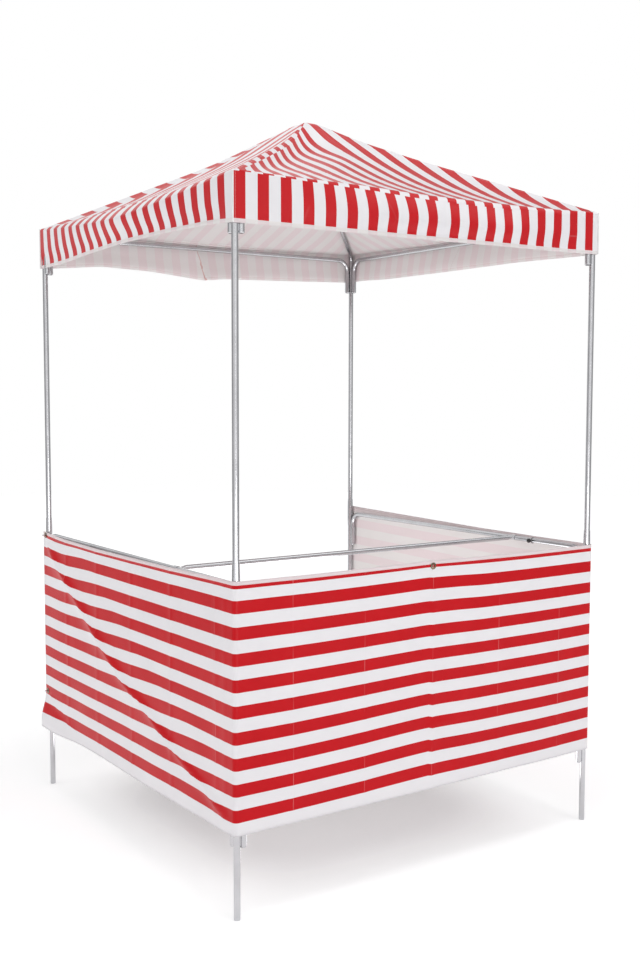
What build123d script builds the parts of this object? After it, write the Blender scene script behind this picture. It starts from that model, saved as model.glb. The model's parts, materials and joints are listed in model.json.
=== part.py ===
from build123d import *
from math import acos, atan2, cos, hypot, pi, sin
import os

# Market stall: a square plug-together frame of zinc-plated steel tube, a striped
# PVC canopy on a four-sided roof, and a striped PVC skirt that hangs round three
# sides below the counter. Millimetres, +Z up, front at -Y, origin on the floor at
# the middle of the footprint.

# ---- layout -----------------------------------------------------------------
POST_SPACING = 1480.0          # post centre to post centre, both ways
HALF = POST_SPACING / 2

# ---- tubes ------------------------------------------------------------------
POST_R = 10.5                  # posts and sockets, 21 mm tube
TUBE_WALL = 1.25
POST_BORE_R = POST_R - TUBE_WALL
PLUG_GAP = 0.25                # radial clearance of a plugged-in tube
RAIL_R = POST_BORE_R - PLUG_GAP
RAIL_BORE_R = RAIL_R - TUBE_WALL

# ---- heights ----------------------------------------------------------------
LOWER_RAIL_Z = 366.0           # rail centres
COUNTER_RAIL_Z = 1016.0
POST_TOP_Z = 2135.0
TOP_RAIL_Z = POST_TOP_Z + 53.0
SPLIT_Z = COUNTER_RAIL_Z - 6.0   # upper post stands on the lower post here

# ---- joint sleeve on the lower post -------------------------------------------
SLEEVE_BOTTOM_Z = SPLIT_Z - 48.0
SLEEVE_FULL_Z = SPLIT_Z - 24.0
SLEEVE_TAPER_Z = SPLIT_Z + 30.0
SLEEVE_RIM_Z = SPLIT_Z + 72.0
SLEEVE_FOOT_R = 11.3
SLEEVE_R = 12.5
SLEEVE_RIM_R = 11.7
SLEEVE_GAP = 0.15              # radial clearance of the upper post in the sleeve

# ---- sockets welded to the posts ----------------------------------------------
WELD_GAP = 0.4                 # between post and socket, bridged by the weld
SOCKET_OFFSET = 2 * POST_R + WELD_GAP
SOCKET_LENGTH = 84.0
SOCKET_LIP_R = 7.4             # crimped-in bottom that stops the plugged rail
SOCKET_LIP_H = 5.0
SOCKET_ROUND = 3.0
WELD_HALF_WIDTH = 4.0
WELD_BITE = 0.9
WELD_END = 6.0                 # bare length at each end of the weld

# ---- rails ------------------------------------------------------------------
RAIL_BEND_R = 50.0
RAIL_DROP = 145.0              # rail centre above the bottom of its sockets
TOP_RAIL_DROP = 147.0
RAIL_LEG = HALF - SOCKET_OFFSET
JOINT_OFFSET = 325.0           # swaged joint of a two-part top rail
SPIGOT_LENGTH = 45.0
SPIGOT_GAP = 0.2
SPIGOT_NECK = 4.0
LOWER_SOCKET_Z = LOWER_RAIL_Z - RAIL_DROP
COUNTER_SOCKET_Z = COUNTER_RAIL_Z - RAIL_DROP
TOP_SOCKET_Z = TOP_RAIL_Z - TOP_RAIL_DROP

# ---- counter bar --------------------------------------------------------------
BAR_Y = -360.0
BAR_Z = COUNTER_RAIL_Z + 2.0
BAR_R = 9.0
BAR_FLAT_LENGTH = 24.0         # the tube is pressed flat over this length
BAR_FLAT_THICK = 4.0
HOOK_GAP = 0.2                 # hook to rail
HOOK_WALL = 2.0
HOOK_BORE_R = RAIL_R + HOOK_GAP
HOOK_R = HOOK_BORE_R + HOOK_WALL
HOOK_WIDTH = 24.0
HOOK_DROP = 6.0
BAR_FLAT_END = HALF - HOOK_BORE_R
BAR_TUBE_END = BAR_FLAT_END - BAR_FLAT_LENGTH

# ---- roof frame ---------------------------------------------------------------
RAFTER_FOOT = 50.0             # length of rafter plugged into the post
COLLAR_R = POST_R
COLLAR_H = 5.0
ELBOW_START_Z = POST_TOP_Z + 52.0
ELBOW_R = 30.0
ROOF_PITCH = 0.32              # rise over run along a rafter
HUB_CORE_R = 22.0
HUB_STUB_END = 86.0            # distance of the stub mouth from the middle
HUB_STUB_BOTTOM = 34.0         # blind bottom that stops the rafter
HUB_CORE_H = 46.0
HUB_CORE_DROP = 6.0            # core middle below the point where the rafters meet
HUB_CHAMFER = 4.0
CAP_R = 24.0
CAP_H = 15.0
CAP_CHAMFER = 4.0
CAP_STEM_R = 8.0
CAP_STEM_GAP = 0.25
CAP_STEM_H = 18.0

# ---- canopy and skirt -----------------------------------------------------------
CLOTH = 1.5                    # modelled sheet thickness
CLOTH_V = 1.8                  # the same, measured upright on the roof slopes
CLOTH_GAP = 0.5                # canopy to posts
PEAK_GAP = 0.3                 # canopy to crown cap
CANOPY_IN = HALF + POST_R + CLOTH_GAP
CANOPY_OUT = CANOPY_IN + CLOTH
VALANCE_BOTTOM_Z = POST_TOP_Z - 65.0
RIDGE_LIFT = 11.0              # canopy underside above the rafter centre line
STEEP_W = 250.0                # half width where the roof turns steeper
PEAK_W = CAP_R + 1.0           # half width of the nearly flat peak
APEX_RISE = 4.0
SKIRT_GAP = 1.6                # skirt to sleeves, room for the eyelets' back rings
SKIRT_IN = HALF + SLEEVE_R + SKIRT_GAP
SKIRT_OUT = SKIRT_IN + CLOTH
SKIRT_BOTTOM_Z = 265.0
SKIRT_TOP_Z = COUNTER_RAIL_Z + RAIL_R + 2.0
SKIRT_BACK_Y = HALF + 20.0
CUT_OVERRUN = 60.0             # cutters and wedges reach this far past the sheets

# ---- eyelets, studs and elastic ties ----------------------------------------------
EYELET_R = 11.5
EYELET_BACK_R = 9.0
EYELET_HOLE_R = 5.2
EYELET_WALL = 0.6
EYELET_PLATE = 0.8
EYELET_GAP = 0.3
EYELET_Z = SKIRT_TOP_Z - 13.0
LOW_EYELET_Z = 384.0
STUD_R = 2.2                   # pins on the back posts that the skirt hooks over
STUD_REACH = 14.0              # past the skirt
TIE_Y = -464.0                 # tie on the right rail
TIE_R = 1.6
TIE_GAP = 0.4
BIGHT_R = 2.0                  # half width of the loop where it passes the eyelet
BIGHT_INSET = 1.8              # middle of the bight, inside the skirt's inner face
BALL_R = 8.5
BALL_GAP = 0.3

CORNERS = {
    "front_left": (-1, -1),
    "front_right": (1, -1),
    "back_left": (-1, 1),
    "back_right": (1, 1),
}
SIDE_TURN = {"front": 0, "right": 90, "back": 180, "left": 270}


def tube(radius, bore, z0, z1):
    """Upright tube on the Z axis."""
    ring = Circle(radius) - Circle(bore)
    return Pos(0, 0, z0) * extrude(ring, z1 - z0)


def swept_tube(path, radius, bore):
    """Bent tube along a path."""
    mouth = Plane(origin=path @ 0, z_dir=path % 0)
    return sweep(mouth * (Circle(radius) - Circle(bore)), path=path)


def turned(points):
    """Solid of revolution about Z from (radius, height) points."""
    face = Plane.XZ * make_face(Polyline(*points, close=True))
    return revolve(face, axis=Axis.Z)


def socket(z0):
    """Short upright tube with its bottom edge crimped inwards."""
    return turned([
        (SOCKET_LIP_R, z0),
        (POST_R - SOCKET_ROUND / 2, z0),
        (POST_R, z0 + SOCKET_ROUND),
        (POST_R, z0 + SOCKET_LENGTH),
        (POST_BORE_R, z0 + SOCKET_LENGTH),
        (POST_BORE_R, z0 + SOCKET_LIP_H),
        (SOCKET_LIP_R, z0 + SOCKET_LIP_H),
    ])


def socket_on_post(dx, dy, z0):
    """Socket beside the post axis, with the weld seam between the tubes."""
    place = Pos(dx * SOCKET_OFFSET, dy * SOCKET_OFFSET, 0)
    bite = 2 * WELD_BITE + WELD_GAP
    wide = 2 * WELD_HALF_WIDTH
    tall = SOCKET_LENGTH - 2 * WELD_END
    seam = Box(bite, wide, tall) if dx else Box(wide, bite, tall)
    middle = SOCKET_OFFSET / 2
    seam = Pos(dx * middle, dy * middle, z0 + SOCKET_LENGTH / 2) * seam
    return place * socket(z0) + seam


def stud(sx, z, root):
    """Pin that stands out sideways from a back post, through the skirt's eyelet."""
    at = Plane(origin=(sx * root, 0, z), z_dir=(sx, 0, 0))
    return extrude(at * Circle(STUD_R), SKIRT_OUT + STUD_REACH - HALF - root)


def lower_post(sx, sy):
    """Floor post with its joint sleeve and its rail sockets."""
    body = tube(POST_R, POST_BORE_R, 0, SPLIT_Z)
    sleeve_bore = POST_R + SLEEVE_GAP
    body += turned([
        (POST_R - 0.4, SLEEVE_BOTTOM_Z),
        (SLEEVE_FOOT_R, SLEEVE_BOTTOM_Z),
        (SLEEVE_R, SLEEVE_FULL_Z),
        (SLEEVE_R, SLEEVE_TAPER_Z),
        (SLEEVE_RIM_R, SLEEVE_RIM_Z),
        (sleeve_bore, SLEEVE_RIM_Z),
        (sleeve_bore, SPLIT_Z),
        (POST_R - 0.4, SPLIT_Z),
    ])
    for z0 in (LOWER_SOCKET_Z, COUNTER_SOCKET_Z):
        body += socket_on_post(0, -sy, z0)
        if sy < 0:
            body += socket_on_post(-sx, 0, z0)
    if sy > 0:
        body += stud(sx, EYELET_Z, (SLEEVE_R + sleeve_bore) / 2)
        body += stud(sx, LOW_EYELET_Z, (POST_R + POST_BORE_R) / 2)
    return Pos(sx * HALF, sy * HALF, 0) * body


def upper_post(sx, sy):
    """Post from the joint to the eaves, with a socket for each top rail."""
    body = tube(POST_R, POST_BORE_R, SPLIT_Z, POST_TOP_Z)
    body += socket_on_post(-sx, 0, TOP_SOCKET_Z)
    body += socket_on_post(0, -sy, TOP_SOCKET_Z)
    return Pos(sx * HALF, sy * HALF, 0) * body


def rail(socket_z, rail_z):
    """U-shaped rail across the front, its legs standing in two sockets."""
    foot = socket_z + SOCKET_LIP_H
    path = Plane.XZ * FilletPolyline(
        (-RAIL_LEG, foot),
        (-RAIL_LEG, rail_z),
        (RAIL_LEG, rail_z),
        (RAIL_LEG, foot),
        radius=RAIL_BEND_R,
    )
    return Pos(0, -HALF, 0) * swept_tube(path, RAIL_R, RAIL_BORE_R)


def top_rail_parts():
    """The front top rail as a long and a short tube, swaged together."""
    whole = rail(TOP_SOCKET_Z, TOP_RAIL_Z)
    joint = Plane(origin=(JOINT_OFFSET, 0, 0), z_dir=(1, 0, 0))
    long_part = split(whole, bisect_by=joint, keep=Keep.BOTTOM)
    short_part = split(whole, bisect_by=joint, keep=Keep.TOP)
    outer = RAIL_BORE_R - SPIGOT_GAP
    ring = Circle(outer) - Circle(outer - TUBE_WALL)
    start = Plane(origin=(JOINT_OFFSET - SPIGOT_LENGTH, -HALF, TOP_RAIL_Z), z_dir=(1, 0, 0))
    spigot = extrude(start * ring, SPIGOT_LENGTH)
    neck_ring = Circle(RAIL_BORE_R + 0.5) - Circle(outer - TUBE_WALL)
    neck_at = Plane(origin=(JOINT_OFFSET, -HALF, TOP_RAIL_Z), z_dir=(1, 0, 0))
    neck = extrude(neck_at * neck_ring, SPIGOT_NECK)
    return long_part, short_part + spigot + neck


def counter_bar():
    """Cross tube behind the counter, its flat ends hooked over the side rails."""
    start = Plane(origin=(-BAR_TUBE_END, BAR_Y, BAR_Z), z_dir=(1, 0, 0))
    bar = extrude(start * (Circle(BAR_R) - Circle(BAR_R - TUBE_WALL)), 2 * BAR_TUBE_END)
    round_end = Plane(origin=(BAR_TUBE_END, BAR_Y, BAR_Z), x_dir=(0, 1, 0), z_dir=(1, 0, 0))
    flat_end = round_end.offset(BAR_FLAT_LENGTH + HOOK_WALL / 2)
    pressed = loft([round_end * Circle(BAR_R), flat_end * Ellipse(HOOK_WIDTH / 2, BAR_FLAT_THICK / 2)])
    rail_axis = Plane(origin=(HALF, BAR_Y - HOOK_WIDTH / 2, COUNTER_RAIL_Z), z_dir=(0, 1, 0))
    hook = extrude(rail_axis * Circle(HOOK_R), HOOK_WIDTH)
    open_side = Box(3 * HOOK_R, 2 * HOOK_WIDTH, 2 * HOOK_R, align=(Align.CENTER, Align.CENTER, Align.MAX))
    hook -= Pos(HALF, BAR_Y, COUNTER_RAIL_Z - HOOK_DROP) * open_side
    end = pressed + hook - extrude(rail_axis * Circle(HOOK_BORE_R), HOOK_WIDTH)
    return bar + end + mirror(end, about=Plane.YZ)


def rafter_axis_z(distance):
    """Height of the rafter centre line at a level distance from the middle."""
    return ELBOW_END_Z + (ELBOW_END_D - distance) * ROOF_PITCH


def rafter():
    """Hip rafter in the XZ plane: foot, collar, tight elbow and slope."""
    corner = HALF * 2 ** 0.5
    sharp_z = rafter_axis_z(corner)
    tip = HUB_STUB_BOTTOM * PITCH_COS
    path = Plane.XZ * FilletPolyline(
        (corner, POST_TOP_Z - RAFTER_FOOT),
        (corner, sharp_z),
        (tip, rafter_axis_z(tip)),
        radius=ELBOW_R,
    )
    body = swept_tube(path, RAIL_R, RAIL_BORE_R)
    collar = tube(COLLAR_R, RAIL_R - 0.4, POST_TOP_Z, POST_TOP_Z + COLLAR_H)
    return body + Pos(corner, 0, 0) * collar


def crown_hub():
    """Core with four stub tubes that take the rafter ends."""
    middle_z = rafter_axis_z(0)
    core = Pos(0, 0, HUB_TOP_Z - HUB_CORE_H) * extrude(Circle(HUB_CORE_R), HUB_CORE_H)
    core = chamfer(core.edges().group_by(Axis.Z)[0], HUB_CHAMFER)
    bores = None
    for turn in (45, 135, 225, 315):
        along = Plane(origin=(0, 0, middle_z), z_dir=(PITCH_COS, 0, -PITCH_SIN))
        spin = Rot(0, 0, turn)
        core += spin * extrude(along * Circle(POST_R), HUB_STUB_END)
        mouth = along.offset(HUB_STUB_BOTTOM)
        bore = spin * extrude(mouth * Circle(POST_BORE_R), HUB_STUB_END)
        bores = bore if bores is None else bores + bore
    core -= bores
    stem_hole = extrude(Circle(CAP_STEM_R + CAP_STEM_GAP), CAP_STEM_H + 1)
    return core - Pos(0, 0, HUB_TOP_Z - CAP_STEM_H - 1) * stem_hole


def crown_cap():
    """Plug in the hub that lifts the canopy at the peak."""
    head = Pos(0, 0, HUB_TOP_Z) * extrude(Circle(CAP_R), CAP_H)
    head = chamfer(head.edges().group_by(Axis.Z)[-1], CAP_CHAMFER)
    stem = Pos(0, 0, HUB_TOP_Z - CAP_STEM_H) * extrude(Circle(CAP_STEM_R), CAP_STEM_H)
    return head + stem


def side_wedge(half_width):
    """Upright wedge between two corner diagonals, for the front side."""
    reach = half_width + CUT_OVERRUN
    face = make_face(Polyline((0, 0), (-reach, -reach), (reach, -reach), close=True))
    return extrude(face, APEX_Z + CUT_OVERRUN)


def front_sheet(profile, half_width):
    """Front sheet of the given (y, z) profile, mitred at the corners."""
    reach = half_width + CUT_OVERRUN
    face = Plane.YZ * make_face(Polyline(*profile, close=True))
    return Pos(-reach, 0, 0) * extrude(face, 2 * reach) & side_wedge(half_width)


def roof_panel():
    """Front roof slope: long even pitch, then steeper to a rounded peak."""
    over = [
        (-CANOPY_OUT, EAVE_Z),
        (-STEEP_W, STEEP_Z),
        (-PEAK_W, PEAK_Z),
        (0, APEX_Z),
    ]
    under = [(y, z - CLOTH_V) for y, z in reversed(over)]
    return front_sheet(over + under, CANOPY_OUT)


def valance():
    """Front valance strip hanging from the eave."""
    rise = (EAVE_Z - STEEP_Z) / (CANOPY_OUT - STEEP_W)
    seam_z = EAVE_Z - CLOTH_V
    return front_sheet([
        (-CANOPY_OUT, VALANCE_BOTTOM_Z),
        (-CANOPY_IN, VALANCE_BOTTOM_Z),
        (-CANOPY_IN, seam_z - rise * CLOTH),
        (-CANOPY_OUT, seam_z),
    ], CANOPY_OUT)


def eyelet_hole(x, z):
    """Cutter for an eyelet hole through the front skirt."""
    at = Plane(origin=(x, -SKIRT_OUT - 2, z), z_dir=(0, 1, 0))
    return extrude(at * Circle(EYELET_HOLE_R + EYELET_WALL + EYELET_GAP), CLOTH + 4)


def eyelet(x, z):
    """Pressed eyelet in the front skirt: face ring, barrel and back ring."""
    hole_r = EYELET_HOLE_R
    front_face = SKIRT_OUT + EYELET_GAP
    back_face = SKIRT_IN - EYELET_GAP
    ring = turned([
        (hole_r, -front_face - EYELET_PLATE),
        (EYELET_R, -front_face - EYELET_PLATE * 0.4),
        (EYELET_R, -front_face),
        (hole_r + EYELET_WALL, -front_face),
        (hole_r + EYELET_WALL, -back_face),
        (EYELET_BACK_R, -back_face),
        (EYELET_BACK_R, -back_face + EYELET_PLATE),
        (hole_r, -back_face + EYELET_PLATE),
    ])
    return Pos(x, 0, z) * Rot(-90, 0, 0) * ring


def with_holes(sheet, places):
    """Front sheet with its eyelet holes cut."""
    for x, z in places:
        sheet -= eyelet_hole(x, z)
    return sheet


def flat_skirt():
    """Skirt across the front, mitred at both corners."""
    return front_sheet([
        (-SKIRT_OUT, SKIRT_BOTTOM_Z),
        (-SKIRT_IN, SKIRT_BOTTOM_Z),
        (-SKIRT_IN, SKIRT_TOP_Z),
        (-SKIRT_OUT, SKIRT_TOP_Z),
    ], SKIRT_OUT)


def side_skirt():
    """Side skirt before its turn: mitred at one corner, square at the back."""
    run = SKIRT_BACK_Y + SKIRT_OUT
    strip = Pos(-SKIRT_OUT, -SKIRT_OUT, SKIRT_BOTTOM_Z) * Box(
        run, CLOTH, SKIRT_TOP_Z - SKIRT_BOTTOM_Z, align=(Align.MIN, Align.MIN, Align.MIN))
    reach = SKIRT_OUT + CUT_OVERRUN
    corner = (-SKIRT_OUT, -SKIRT_OUT)
    wedge_face = make_face(Polyline(corner, (reach, -SKIRT_OUT), (reach, 0), (0, 0), close=True))
    return strip & extrude(wedge_face, SKIRT_TOP_Z + CUT_OVERRUN)


def on_circle(centre, radius, angle):
    """Point of a circle in the XY plane."""
    return centre[0] + radius * cos(angle), centre[1] + radius * sin(angle)


def tie_loop():
    """Elastic loop round the front rail, its bight out through the eyelet."""
    rail_at = (0, 0)
    bight_at = (SKIRT_IN - HALF - BIGHT_INSET, EYELET_Z - COUNTER_RAIL_Z)
    lean = atan2(bight_at[1], bight_at[0])
    spread = acos((TIE_TURN_R - BIGHT_R) / hypot(*bight_at))
    turn = ThreePointArc(*[on_circle(rail_at, TIE_TURN_R, lean + a) for a in (spread, pi, -spread)])
    bight = ThreePointArc(*[on_circle(bight_at, BIGHT_R, lean + a) for a in (-spread, 0, spread)])
    runs = [turn, Line(turn @ 1, bight @ 0), bight, Line(bight @ 1, turn @ 0)]
    route = Wire([edge for run in runs for edge in run.edges()])
    loop = sweep(Plane(origin=route @ 0, z_dir=route % 0) * Circle(TIE_R), path=route)
    across = Plane(origin=(0, -HALF, COUNTER_RAIL_Z), x_dir=(0, -1, 0), z_dir=(-1, 0, 0))
    return across * loop


def tie_ball():
    """Ball of the elastic tie, inside the front rail."""
    arc = make_face(Polyline((0, -BALL_R), (0, BALL_R)) + RadiusArc((0, BALL_R), (0, -BALL_R), BALL_R))
    reach = TIE_TURN_R + TIE_R + BALL_GAP + BALL_R
    return Pos(0, reach - HALF, COUNTER_RAIL_Z) * revolve(Plane.XZ * arc, axis=Axis.Z)


# ---- derived sizes ----------------------------------------------------------------
PITCH_LENGTH = (1 + ROOF_PITCH ** 2) ** 0.5
PITCH_COS = 1 / PITCH_LENGTH
PITCH_SIN = ROOF_PITCH / PITCH_LENGTH
ELBOW_END_D = HALF * 2 ** 0.5 - ELBOW_R * (1 - PITCH_SIN)
ELBOW_END_Z = ELBOW_START_Z + ELBOW_R * PITCH_COS
HUB_TOP_Z = rafter_axis_z(0) + HUB_CORE_H / 2 - HUB_CORE_DROP
PEAK_Z = HUB_TOP_Z + CAP_H + PEAK_GAP + CLOTH_V
APEX_Z = PEAK_Z + APEX_RISE
TIE_TURN_R = RAIL_R + TIE_GAP + TIE_R
EAVE_Z = rafter_axis_z(CANOPY_OUT * 2 ** 0.5) + RIDGE_LIFT + CLOTH_V
STEEP_Z = rafter_axis_z(STEEP_W * 2 ** 0.5) + RIDGE_LIFT + CLOTH_V


def build():
    """All nodes by name."""
    nodes = {}
    for name, (sx, sy) in CORNERS.items():
        nodes["lower_post_" + name] = lower_post(sx, sy)
        nodes["upper_post_" + name] = upper_post(sx, sy)
        turn = {(1, 1): 45, (-1, 1): 135, (-1, -1): 225, (1, -1): 315}[(sx, sy)]
        nodes["rafter_" + name] = Rot(0, 0, turn) * rafter()
    long_part, short_part = top_rail_parts()
    for side, turn in SIDE_TURN.items():
        spin = Rot(0, 0, turn)
        nodes["top_rail_" + side + "_long"] = spin * long_part
        nodes["top_rail_" + side + "_short"] = spin * short_part
        nodes["roof_panel_" + side] = spin * roof_panel()
        nodes["valance_" + side] = spin * valance()
    counter = rail(COUNTER_SOCKET_Z, COUNTER_RAIL_Z)
    low = rail(LOWER_SOCKET_Z, LOWER_RAIL_Z)
    for side in ("left", "front", "right"):
        spin = Rot(0, 0, SIDE_TURN[side])
        nodes["counter_rail_" + side] = spin * counter
        nodes["lower_rail_" + side] = spin * low
    nodes["counter_bar"] = counter_bar()
    nodes["crown_hub"] = crown_hub()
    nodes["crown_cap"] = crown_cap()

    # a side skirt is drawn along X, then turned: its square end is at the back
    right_turn = Rot(0, 0, SIDE_TURN["right"])
    back = [(HALF, EYELET_Z), (HALF, LOW_EYELET_Z)]
    right = right_turn * with_holes(side_skirt(), back + [(TIE_Y, EYELET_Z)])
    left = right_turn * with_holes(side_skirt(), back)
    nodes["skirt_front"] = with_holes(flat_skirt(), [(0, EYELET_Z)])
    nodes["skirt_right"] = right
    nodes["skirt_left"] = mirror(left, about=Plane.YZ)
    on_right = [right_turn * eyelet(x, z) for x, z in back + [(TIE_Y, EYELET_Z)]]
    on_left = [mirror(right_turn * eyelet(x, z), about=Plane.YZ) for x, z in back]
    nodes["eyelets"] = Compound(children=[eyelet(0, EYELET_Z)] + on_right + on_left)
    tie_places = (Location(), right_turn * Pos(TIE_Y, 0, 0))
    nodes["tie_loops"] = Compound(children=[place * tie_loop() for place in tie_places])
    nodes["tie_balls"] = Compound(children=[place * tie_ball() for place in tie_places])
    return nodes


os.makedirs("parts", exist_ok=True)
for node, shape in build().items():
    export_step(shape, "parts/" + node + ".step")
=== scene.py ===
import json
import math
from collections import namedtuple
from functools import partial

import bmesh
import bpy
from mathutils import Matrix, Vector, noise


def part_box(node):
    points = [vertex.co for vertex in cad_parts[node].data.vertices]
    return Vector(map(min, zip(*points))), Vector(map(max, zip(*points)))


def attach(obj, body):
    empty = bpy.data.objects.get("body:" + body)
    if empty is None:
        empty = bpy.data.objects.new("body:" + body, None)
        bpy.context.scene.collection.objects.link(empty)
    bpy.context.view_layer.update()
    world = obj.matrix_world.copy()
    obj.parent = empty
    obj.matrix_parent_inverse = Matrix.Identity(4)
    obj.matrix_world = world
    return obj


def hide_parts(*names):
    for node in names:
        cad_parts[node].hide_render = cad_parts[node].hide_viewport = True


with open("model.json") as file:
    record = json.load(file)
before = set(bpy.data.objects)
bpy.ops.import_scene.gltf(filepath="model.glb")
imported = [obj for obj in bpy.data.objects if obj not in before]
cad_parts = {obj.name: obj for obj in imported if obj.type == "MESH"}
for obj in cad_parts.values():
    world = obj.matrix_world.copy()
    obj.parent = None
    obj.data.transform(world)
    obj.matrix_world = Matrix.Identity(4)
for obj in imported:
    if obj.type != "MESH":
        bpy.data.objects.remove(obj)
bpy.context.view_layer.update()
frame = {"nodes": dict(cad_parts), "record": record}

bl_info = {
    "name": "Market stall dressing",
    "version": (1, 0, 0),
    "blender": (4, 5, 0),
    "location": "3D View > Sidebar > Market stall",
    "description": "Striped canopy and skirt, trims and finishes for a plug-together market stall",
    "category": "Add Mesh",
}

# ---- places taken from the frame, in metres --------------------------
EAVE_HALF = -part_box("valance_front")[0].y
EAVE_Z = 2.216
ROOF_RISE = 0.4525
STEEP_HALF = 0.25
STEEP_RISE = 0.6
APEX_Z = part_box("roof_panel_front")[1].z
SKIRT_HALF = -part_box("skirt_front")[0].y
SKIRT_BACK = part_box("skirt_left")[1].y
MAPS = ("Cloth", "Seams", "Creases")   # the cloth's three UV maps

# Each side's outward direction and its direction from left to right as seen outside.
SIDES = {
    "front": (Vector((0, -1, 0)), Vector((1, 0, 0))),
    "right": (Vector((1, 0, 0)), Vector((0, 1, 0))),
    "back": (Vector((0, 1, 0)), Vector((-1, 0, 0))),
    "left": (Vector((-1, 0, 0)), Vector((0, -1, 0))),
}
SIDE_NAMES = tuple(SIDES)

# ---- how the cloth lies: pairs of a place and a value ----------------
# Height of the valance's bottom edge along each side.
HEM_LINE = {
    "front": ((-0.7525, 2.068), (0.7525, 2.0775)),
    "right": ((-0.7525, 2.0775), (-0.36, 2.086), (0.05, 2.085), (0.46, 2.086), (0.69, 2.094),
        (0.7525, 2.091)),
    "back": ((-0.7525, 2.091), (-0.47, 2.081), (-0.06, 2.069), (0.025, 2.057), (0.28, 2.081),
        (0.5, 2.088), (0.67, 2.071), (0.7525, 2.064)),
    "left": ((-0.7525, 2.064), (-0.49, 2.069), (-0.34, 2.077), (-0.03, 2.088), (0.3, 2.087),
        (0.62, 2.079), (0.7525, 2.068)),
}
# Height at which the roof cloth lies over the edge of the frame.
SEAM_LINE = {
    "front": ((-0.7525, 2.2195), (-0.6, 2.2195), (-0.4, 2.2205), (-0.25, 2.22), (-0.166, 2.2175),
        (-0.09, 2.2155), (0.07, 2.2155), (0.2, 2.2165), (0.31, 2.2175), (0.5, 2.22), (0.63, 2.224),
        (0.7525, 2.2265)),
    "right": ((-0.7525, 2.2265), (-0.65, 2.219), (-0.5, 2.211), (-0.2, 2.205), (0.2, 2.205),
        (0.5, 2.211), (0.7525, 2.2195)),
    "left": ((-0.7525, 2.2195), (-0.5, 2.213), (-0.2, 2.209), (0.2, 2.209), (0.5, 2.213),
        (0.7525, 2.2195)),
    "back": ((-0.7525, 2.2195), (-0.5, 2.211), (-0.2, 2.205), (0.2, 2.205), (0.5, 2.211),
        (0.7525, 2.2195)),
}
# Height of the front valance's top, where the roof is sewn on, and how far its stripes are
# pulled left there.
FRONT_CREST = ((-0.7525, 2.2155), (-0.6, 2.2125), (-0.5, 2.2093), (-0.34, 2.2065), (-0.27, 2.2062),
    (-0.19, 2.2035), (-0.11, 2.1998), (0.08, 2.1973), (0.157, 2.1976), (0.2345, 2.1982),
    (0.31, 2.2), (0.4, 2.2055), (0.5, 2.212), (0.63, 2.2185), (0.7525, 2.2225))
FRONT_PULL = ((-0.6, 0), (-0.5, 0.005), (-0.42, 0.0075), (-0.34, 0.0114), (-0.27, 0.0146),
    (-0.19, 0.0168), (-0.11, 0.0165), (-0.02, 0.0125), (0.08, 0.0034), (0.25, 0.002), (0.5, 0))
# Stripes on the valance: where a place along the side lies in the print.
STRAIGHT = ((-0.7525, 0.0), (0.7525, 1.505))
PATTERN = {
    "front": STRAIGHT, "right": STRAIGHT, "back": STRAIGHT,
    "left": ((-0.7525, 0.0), (-0.7505, 0.002), (-0.0215, 0.759), (0.0325, 0.813), (0.7045, 1.479),
        (0.7525, 1.527)),
}
# How far the roof's stripes are sewn to the right of the valance's, at the seam.
SEAM_SHIFT = ((-0.7525, 0.02), (-0.6, 0.018), (-0.48, 0.012), (-0.4, 0.009), (-0.24, 0.007),
    (-0.09, 0.005), (0.008, 0.0035), (0.055, -0.012), (0.15, -0.0117), (0.23, -0.0087),
    (0.31, -0.0057), (0.45, -0.003), (0.62, 0), (0.7525, 0))
# The same at the hips, where the cloth is pulled out of line.
HIP_SHIFT = ((-0.7525, 0.038), (-0.67, 0.035), (-0.59, 0.026), (-0.51, 0.021), (-0.43, 0.009),
    (-0.35, -0.004), (-0.27, -0.014), (-0.19, -0.025), (-0.113, -0.04), (-0.05, -0.06),
    (-0.0135, -0.072), (0.03, -0.078), (0.061, -0.082), (0.1, -0.081), (0.159, -0.07),
    (0.225, -0.056), (0.2955, -0.0445), (0.374, -0.031), (0.452, -0.021), (0.531, -0.007),
    (0.609, 0.002), (0.6875, 0.0065), (0.7525, 0.002))
# Sag of the roof cloth below straight slopes, and how much more it hangs where it hooks over
# the front left hip.
SAG = ((0, 0.003), (0.03, 0.0115), (0.07, 0.0137), (0.11, 0.0178), (0.15, 0.021), (0.19, 0.0235),
    (0.24, 0.025), (0.29, 0.0245), (0.33, 0.0233), (0.37, 0.0215), (0.42, 0.0195), (0.466, 0.0157),
    (0.51, 0.0132), (0.56, 0.0092), (0.61, 0.0055), (0.66, 0.0008), (0.7, 0.0))
HOOK = ((0.12, 0), (0.2, 0.005), (0.3, 0.01), (0.36, 0.0135), (0.45, 0.018), (0.52, 0.022),
    (0.6, 0.022), (0.66, 0.01), (0.7, 0))
# Edges of the skirt along its length, from the back left post round the front.
SKIRT_TOP = ((0.0, 1.028), (0.05, 1.026), (0.16, 1.02), (0.26, 1.0175), (0.52, 1.0155),
    (0.81, 1.0185), (1.1, 1.022), (1.4, 1.0295), (1.52, 1.03), (1.8, 1.029), (2.1, 1.031),
    (2.25, 1.033), (2.4, 1.0305), (2.7, 1.029), (3.03, 1.031), (3.3, 1.031), (3.63, 1.033),
    (4.54, 1.05))
SKIRT_BOTTOM = ((0.0, 0.238), (0.14, 0.239), (0.5, 0.246), (0.8, 0.248), (1.1, 0.251),
    (1.39, 0.256), (1.52, 0.262), (2.2, 0.264), (2.9, 0.268), (3.03, 0.272), (3.6, 0.275),
    (4.54, 0.28))
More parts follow.
